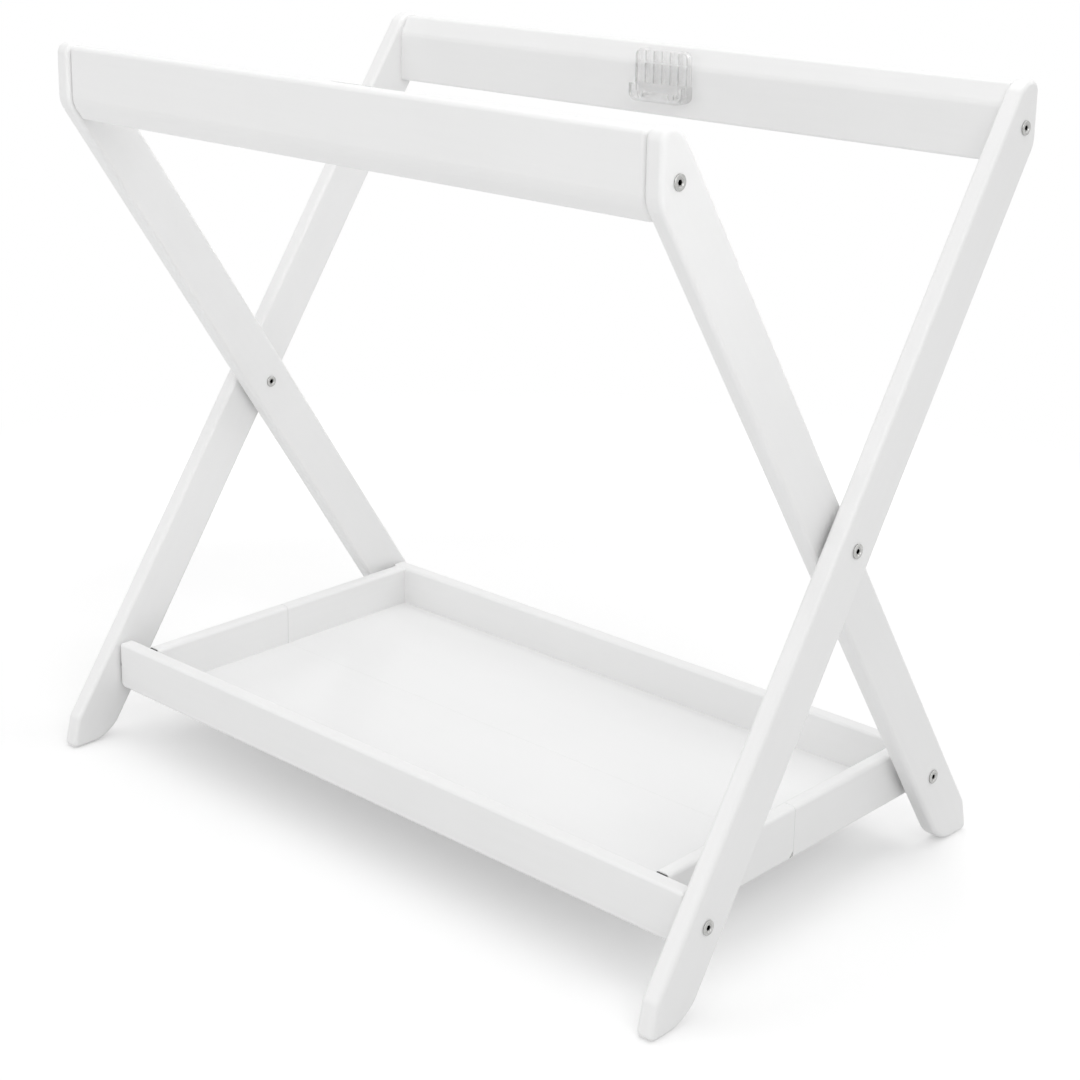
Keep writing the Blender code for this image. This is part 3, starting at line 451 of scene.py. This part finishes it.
def makeTopRail():
    low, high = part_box("back_top_rail")
    low.x -= topRail["intoLeg"]
    high.x += topRail["intoLeg"]
    rail = addBlock("back_top_rail_painted", low, high)
    edge = (leg["width"] / 2 - topRail["inset"]) / math.cos(lean)
    bend = pivotHeight + (high.y - edge) / math.tan(lean)
    sliceOff(rail, (0, edge, pivotHeight), (0, math.cos(lean), -math.sin(lean)))
    crease = high.z - topRail["crease"]
    sliceOff(rail, (0, low.y, crease), (0, -topRail["crease"], topRail["relief"]))
    foot = (low.z - pivotHeight) * math.tan(lean) + edge
    for place, radius, steps in (
            ((high.y, bend), topRail["bendRadius"], 12),
            ((low.y, crease), topRail["creaseRadius"], 4),
            ((low.y, low.z), topRail["footRadius"], 6),
            ((foot, low.z), topRail["footRadius"], 6),
            ((high.y, high.z), topRail["topRadius"], 8),
            ((low.y + topRail["relief"], high.z), topRail["topRadius"], 8)):
        roundCorner(rail, 0, place, radius, steps)
    eased = low.y + topRail["easeFrom"]  # only the outer side has a groove beside the leg
    roundEdges(rail, lambda a, b: (same(a.x, b.x) and same(abs(a.x), high.x)
                                   and (a.y + b.y) / 2 > eased), topRail["endEase"], 6)
    smoothOff(rail)
    return rail


backTopRail = makeTopRail()
frontTopRail = copyPiece(backTopRail, "front_top_rail_painted", halfTurn=True)
openMesh(frontTopRail)
bpy.ops.mesh.select_all(action="SELECT")
shorter = (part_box("front_top_rail")[1].x + topRail["intoLeg"]) / max(
    vertex.co.x for vertex in frontTopRail.data.vertices)
bpy.ops.transform.resize(value=(shorter, 1, 1), center_override=(0, 0, 0))
closeMesh()
fit(backTopRail, "outer_frame", "white_painted_wood", railPaint, "back_top_rail")
fit(frontTopRail, "inner_frame", "white_painted_wood", railPaint, "front_top_rail")
print("top rails made")


# tray

tray = {"lowCorner": 0.006, "topCorner": 0.0036, "edge": 0.0032, "endTop": 0.0042, "endLow": 0.0015,
        "endEase": 0.0006, "nick": 0.007, "panelEase": 0.0001, "seam": 0.0001, "shoulderGap": 0.0014,
        "nickSlope": 1.5, "intoRail": 0.0005, "clear": 0.0003, "tenon": 0.006, "tenonDrop": 0.0318,
        "tenonHeight": 0.0095}
hinge = {"width": 0.009, "length": 0.0302, "leaf": 0.0012, "knuckle": 0.0044}


def makeTrayRail(node):
    low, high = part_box(node)
    rail = addBlock(node + "_painted", low, high)
    for x in (low.x, high.x):
        roundCorner(rail, 1, (x, low.z), tray["lowCorner"], 8)
        roundCorner(rail, 1, (x, high.z), tray["topCorner"], 6)
    roundEdges(rail, lambda a, b: same(a.y, b.y) and (same(a.y, low.y) or same(a.y, high.y)),
               tray["edge"], 6)
    smoothOff(rail)
    return rail


def makeEndRail(node, front):
    low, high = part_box(node)
    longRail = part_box(node[:node.index("_")] + "_tray_rail")
    if front:
        low.y, high.y = longRail[1].y + tray["shoulderGap"], -tray["seam"] / 2
    else:
        low.y, high.y = tray["seam"] / 2, longRail[0].y + tray["intoRail"]
    rail = addBlock(node + "_painted", low, high)
    if front:  # room for the hinge knuckle under the seam
        sliceOff(rail, (0, high.y - tray["nick"], low.z), (0, tray["nickSlope"], -1))
    for x in (low.x, high.x):
        roundCorner(rail, 1, (x, high.z), tray["endTop"], 6)
        roundCorner(rail, 1, (x, low.z), tray["endLow"], 4)
    eased = (low.y, high.y) if front else (low.y,)
    roundEdges(rail, lambda a, b: same(a.y, b.y) and any(same(a.y, y) for y in eased), tray["endEase"], 2)
    middle, facing = (low.x + high.x) / 2, -1 if front else 1
    if front:
        half, top = tray["tenon"] / 2, high.z - tray["tenonDrop"]
        joinOn(rail, addBlock("tenon", (middle - half, longRail[1].y - overlap, top - tray["tenonHeight"]),
                              (middle + half, low.y + overlap, top)), "UNION")
    half = hinge["width"] / 2 + tray["clear"]
    near, far = sorted((-facing * overcut, facing * (hinge["length"] + tray["clear"])))
    joinOn(rail, addBlock("leaf_recess", (middle - half, near, low.z - overcut),
                          (middle + half, far, low.z + hinge["leaf"] + tray["clear"])), "DIFFERENCE")
    joinOn(rail, addRound("knuckle_recess", hinge["knuckle"] / 2 + tray["clear"],
                          middle - half, middle + half, 32, (0, low.z)), "DIFFERENCE")
    smoothOff(rail)
    return rail


for half, body in (("front", "front_tray"), ("back", "back_tray")):
    fit(makeTrayRail(f"{half}_tray_rail"), body, "white_painted_wood", railPaint, f"{half}_tray_rail")
    for side in ("left", "right"):
        node = f"{half}_end_rail_{side}"
        fit(makeEndRail(node, half == "front"), body, "white_painted_wood", endRailPaint, node)
    low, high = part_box(f"{half}_floor_panel")
    if half == "front":
        high.y = -tray["seam"] / 2
    else:
        low.y = tray["seam"] / 2
    panel = addBlock(f"{half}_floor_panel_faced", low, high)
    roundEdges(panel, lambda a, b: True, tray["panelEase"], 2)
    smoothOff(panel)
    fit(panel, body, "white_panel", panelWhite, f"{half}_floor_panel")
print("tray made")


# near-black blocks that paint the shade in the slits where the end rails meet the front rail

slitShade = {"length": 0.0105, "height": 0.012, "below": 0.0012, "pressed": 0.0002}


def makeSlitShade(side):
    low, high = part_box("front_end_rail_" + side)
    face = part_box("front_tray_rail")[1].y
    middle, top = (low.x + high.x) / 2, high.z - slitShade["below"]
    half = slitShade["length"] / 2
    made = addBlock(f"front_end_slit_shade_{side}", (middle - half, face - slitShade["pressed"], top - slitShade["height"]),
                    (middle + half, face + tray["shoulderGap"] + slitShade["pressed"], top))
    smoothOff(made)
    return made


for side in ("left", "right"):
    # a near-black block in each slit stands in for its shade
    fit(makeSlitShade(side), "front_tray", "grey_nylon", slitShadeBlack)
print("slit_shades made")


# bolts and nuts

bolt = {"shank": 0.006, "tip": 0.0009, "head": 0.0132, "rise": 0.0012, "gap": 0.0003, "crown": 0.0005,
        "ring": 0.0021, "dish": 0.0007, "flats": 0.0044, "socket": 0.0045}
boltSets = (("outer_top_bolt", 0.042, "outer_frame"), ("inner_top_bolt", 0.042, "inner_frame"),
            ("pivot_bolt", 0.0366, "outer_frame"), ("front_tray_bolt", 0.045, "front_tray"),
            ("back_tray_bolt", 0.018, "inner_frame"))
nut = {"barrel": 0.009, "head": 0.0115, "rise": 0.0012, "crown": 0.0005, "length": 0.0237, "floor": 0.0051}


def makeHead(name, diameter, rise, crown, shank, reach):  # under the head x is 0, the shank runs to -reach
    head = addRound(name, diameter / 2, bolt["gap"], bolt["gap"] + rise, 64)
    top = bolt["gap"] + rise
    roundEdges(head, lambda a, b: same(a.x, top) and same(b.x, top), crown, 5)
    pickFaces(head, lambda at, normal: normal.x > 0.99 and same(at.x, top))
    bpy.ops.mesh.inset(thickness=bolt["ring"])
    bpy.ops.mesh.inset(thickness=bolt["dish"])
    bpy.ops.transform.translate(value=(-bolt["dish"], 0, 0))  # a shallow dish about the socket
    closeMesh()
    pickFaces(head, lambda at, normal: normal.x < -0.99)
    bpy.ops.mesh.inset(thickness=(diameter - shank) / 2)
    bpy.ops.mesh.extrude_region_move(
        TRANSFORM_OT_translate={"value": (-reach - bolt["gap"] + bolt["tip"], 0, 0)})
    bpy.ops.mesh.extrude_region_move(TRANSFORM_OT_translate={"value": (-bolt["tip"], 0, 0)})
    bpy.ops.transform.resize(value=(1, 1 - 2 * bolt["tip"] / shank, 1 - 2 * bolt["tip"] / shank))
    closeMesh()
    hole = addRound("hex_socket", bolt["flats"] / math.sqrt(3), top - bolt["socket"], top + overcut, 6)
    joinOn(head, hole, "DIFFERENCE")
    smoothOff(head, 30)
    return head


def placePair(master, start, body, inward=False):  # left and right copies of a piece that faces +X
    reach = max(vertex.co.x for vertex in master.data.vertices)
    for side in ("left", "right"):
        node = f"{start}_{side}"
        low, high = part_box(node)
        turned = (side == "right") == inward
        place = (low.x + reach if turned else high.x - reach, (low.y + high.y) / 2, (low.z + high.z) / 2)
        fit(copyPiece(master, node + "_turned", place, turned), body, "nickel_steel", nickel, node)
    bpy.data.objects.remove(master, do_unlink=True)


def makeBolts():
    for start, length, body in boltSets:
        master = makeHead("bolt_master", bolt["head"], bolt["rise"], bolt["crown"], bolt["shank"], length)
        placePair(master, start, body)
    master = makeHead("nut_master", nut["head"], nut["rise"], nut["crown"], nut["barrel"], nut["length"])
    bore = addRound("nut_bore", bolt["shank"] / 2 + bolt["gap"], -nut["length"] - overcut, -nut["floor"], 32)
    joinOn(master, bore, "DIFFERENCE")
    smoothOff(master, 30)
    placePair(master, "pivot_sleeve_nut", "outer_frame", True)


makeBolts()
print("bolts made")


# the rest keeps its CAD shape

finishes = {"nickel_steel": nickel, "brass_insert": brass, "beech_dowel": beech, "grey_nylon": nylon,
            "clear_plastic": clearPlastic}
for part in frame["record"]["subparts"]:
    node, slot = nodes[part["node"]], part["material_slot"]
    if node.hide_render:  # a piece made above stands for it
        continue
    node.data.materials.clear()
    node.data.materials.append(finishes[slot])


# floor, light and camera

studio = {"world": 0.52, "floorSize": 60, "floorShade": 0.9, "floorBounce": 0.80, "floorLift": 1.75,
          "shadowShare": 0.83, "shadowReach": (0.75, 1.5)}
lamps = {
    "key_lamp": {"place": (2.6, -1.4, 2.4), "size": 1.8, "power": 24.0},
    "top_lamp": {"place": (-0.2, 0.4, 3.0), "size": 2.2, "power": 27.5},
    "fill_lamp": {"place": (-1.6, -2.4, 1.4), "size": 2.0, "power": 10.0},
    "front_lamp": {"place": (0.4, -3.0, 1.1), "size": 2.0, "power": 11.0},
    "back_lamp": {"place": (1.8, 2.4, 2.4), "size": 1.8, "power": 15.5},
    "corner_lamp": {"place": (1.9, -0.35, 1.0), "size": 0.45, "power": 0.13, "aim": (0.38, -0.28, 0.72),
                    "spread": 24}}


def addShownRays(tree, at):  # 1 for the rays that show the white background
    path = addNode(tree, "ShaderNodeLightPath", at)
    shown = path.outputs["Is Camera Ray"]
    for step, ray in ((1, "Is Glossy Ray"), (2, "Is Transmission Ray")):
        either = addNode(tree, "ShaderNodeMath", (at[0] + 200 * step, at[1]), operation="MAXIMUM")
        tree.links.new(shown, either.inputs[0])
        tree.links.new(path.outputs[ray], either.inputs[1])
        shown = either.outputs["Value"]
    return shown


def makeFloor():
    deselectAll()
    bpy.ops.mesh.primitive_plane_add(size=studio["floorSize"], location=(0, 0, -0.0005))
    floor = settle(bpy.context.object, "studio_floor")
    surface = bpy.data.materials.new("studio_floor_white")
    surface.use_nodes = True
    tree = surface.node_tree
    tree.nodes.remove(tree.nodes["Principled BSDF"])
    out = tree.nodes["Material Output"]
    plain = addNode(tree, "ShaderNodeBsdfDiffuse", (-400, -200))
    plain.inputs["Color"].default_value = (studio["floorBounce"],) * 3 + (1,)
    bright = addNode(tree, "ShaderNodeBsdfDiffuse", (-400, 0))
    bright.inputs["Color"].default_value = (studio["floorShade"],) * 3 + (1,)
    white = addNode(tree, "ShaderNodeEmission", (-400, 150))
    lifted = addNode(tree, "ShaderNodeMixShader", (-150, 100))
    where = addNode(tree, "ShaderNodeTexCoord", (-1000, -100))
    away = addNode(tree, "ShaderNodeVectorMath", (-800, -100), operation="LENGTH")
    tree.links.new(where.outputs["Object"], away.inputs[0])
    for source, socket, close, far in ((lifted, "Fac", studio["shadowShare"], 0.0),
                                       (white, "Strength", studio["floorLift"], 1.0)):
        fade = addNode(tree, "ShaderNodeMapRange", (-600, -100), interpolation_type="SMOOTHSTEP")
        fade.inputs["From Min"].default_value, fade.inputs["From Max"].default_value = studio["shadowReach"]
        fade.inputs["To Min"].default_value, fade.inputs["To Max"].default_value = close, far
        tree.links.new(away.outputs["Value"], fade.inputs["Value"])
        tree.links.new(fade.outputs["Result"], source.inputs[socket])
    tree.links.new(white.outputs["Emission"], lifted.inputs[1])
    tree.links.new(bright.outputs["BSDF"], lifted.inputs[2])
    mixed = addNode(tree, "ShaderNodeMixShader", (100, 0))
    tree.links.new(addShownRays(tree, (-800, 300)), mixed.inputs["Fac"])
    tree.links.new(plain.outputs["BSDF"], mixed.inputs[1])
    tree.links.new(lifted.outputs["Shader"], mixed.inputs[2])
    tree.links.new(mixed.outputs["Shader"], out.inputs["Surface"])
    floor.data.materials.append(surface)
    floor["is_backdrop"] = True


def makeWorld():
    world = bpy.data.worlds.new("studio_world")
    bpy.context.scene.world = world
    world.use_nodes = True
    tree = world.node_tree
    tree.nodes.clear()
    out = addNode(tree, "ShaderNodeOutputWorld", (600, 0))
    mixed = addNode(tree, "ShaderNodeMixShader", (300, 0))
    tree.links.new(addShownRays(tree, (-600, 200)), mixed.inputs["Fac"])
    for socket, strength, height in ((1, studio["world"], -100), (2, 1.0, 100)):  # light, then what is seen
        sky = addNode(tree, "ShaderNodeBackground", (0, height))
        sky.inputs["Color"].default_value = (1, 1, 1, 1)
        sky.inputs["Strength"].default_value = strength
        tree.links.new(sky.outputs["Background"], mixed.inputs[socket])
    tree.links.new(mixed.outputs["Shader"], out.inputs["Surface"])


def addLamp(name, place, size, power, aim=(0, 0, 0.35), spread=180):
    data = bpy.data.lights.new(name, "AREA")
    data.shape = "SQUARE"
    data.size = size
    data.energy = power
    data.spread = math.radians(spread)
    lamp = bpy.data.objects.new(name, data)
    bpy.context.scene.collection.objects.link(lamp)
    lamp.location = place
    lamp.rotation_euler = (Vector(aim) - Vector(place)).to_track_quat("-Z", "Y").to_euler()


view = {"focal": 2125.8, "pictureWidth": 1080, "sensor": 36, "azimuth": 42.67, "elevation": 14.98,
        "roll": 0.96, "distance": 2.004, "lookAt": (0.0344, 0.0, 0.4342), "shiftY": -0.15, "clip": (0.05, 50)}


def makeCamera():
    data = bpy.data.cameras.new("photo_camera")
    camera = bpy.data.objects.new("photo_camera", data)
    bpy.context.scene.collection.objects.link(camera)
    turn, rise = math.radians(view["azimuth"]), math.radians(view["elevation"])
    back = Vector((math.sin(turn) * math.cos(rise), -math.cos(turn) * math.cos(rise), math.sin(rise)))
    camera.location = Vector(view["lookAt"]) + back * view["distance"]
    looking = (-back).to_track_quat("-Z", "Y")
    camera.rotation_mode = "QUATERNION"
    camera.rotation_quaternion = looking @ Quaternion((0, 0, 1), math.radians(view["roll"]))
    data.sensor_width = view["sensor"]
    data.lens = view["focal"] / view["pictureWidth"] * view["sensor"]  # the focal length is in pixels
    data.shift_y = view["shiftY"]
    data.clip_start, data.clip_end = view["clip"]
    bpy.context.scene.camera = camera


makeFloor()
makeWorld()
for name, lamp in lamps.items():
    addLamp(name, **lamp)
makeCamera()
bpy.context.scene.view_settings.view_transform = "Standard"
print("studio made")

low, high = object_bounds()
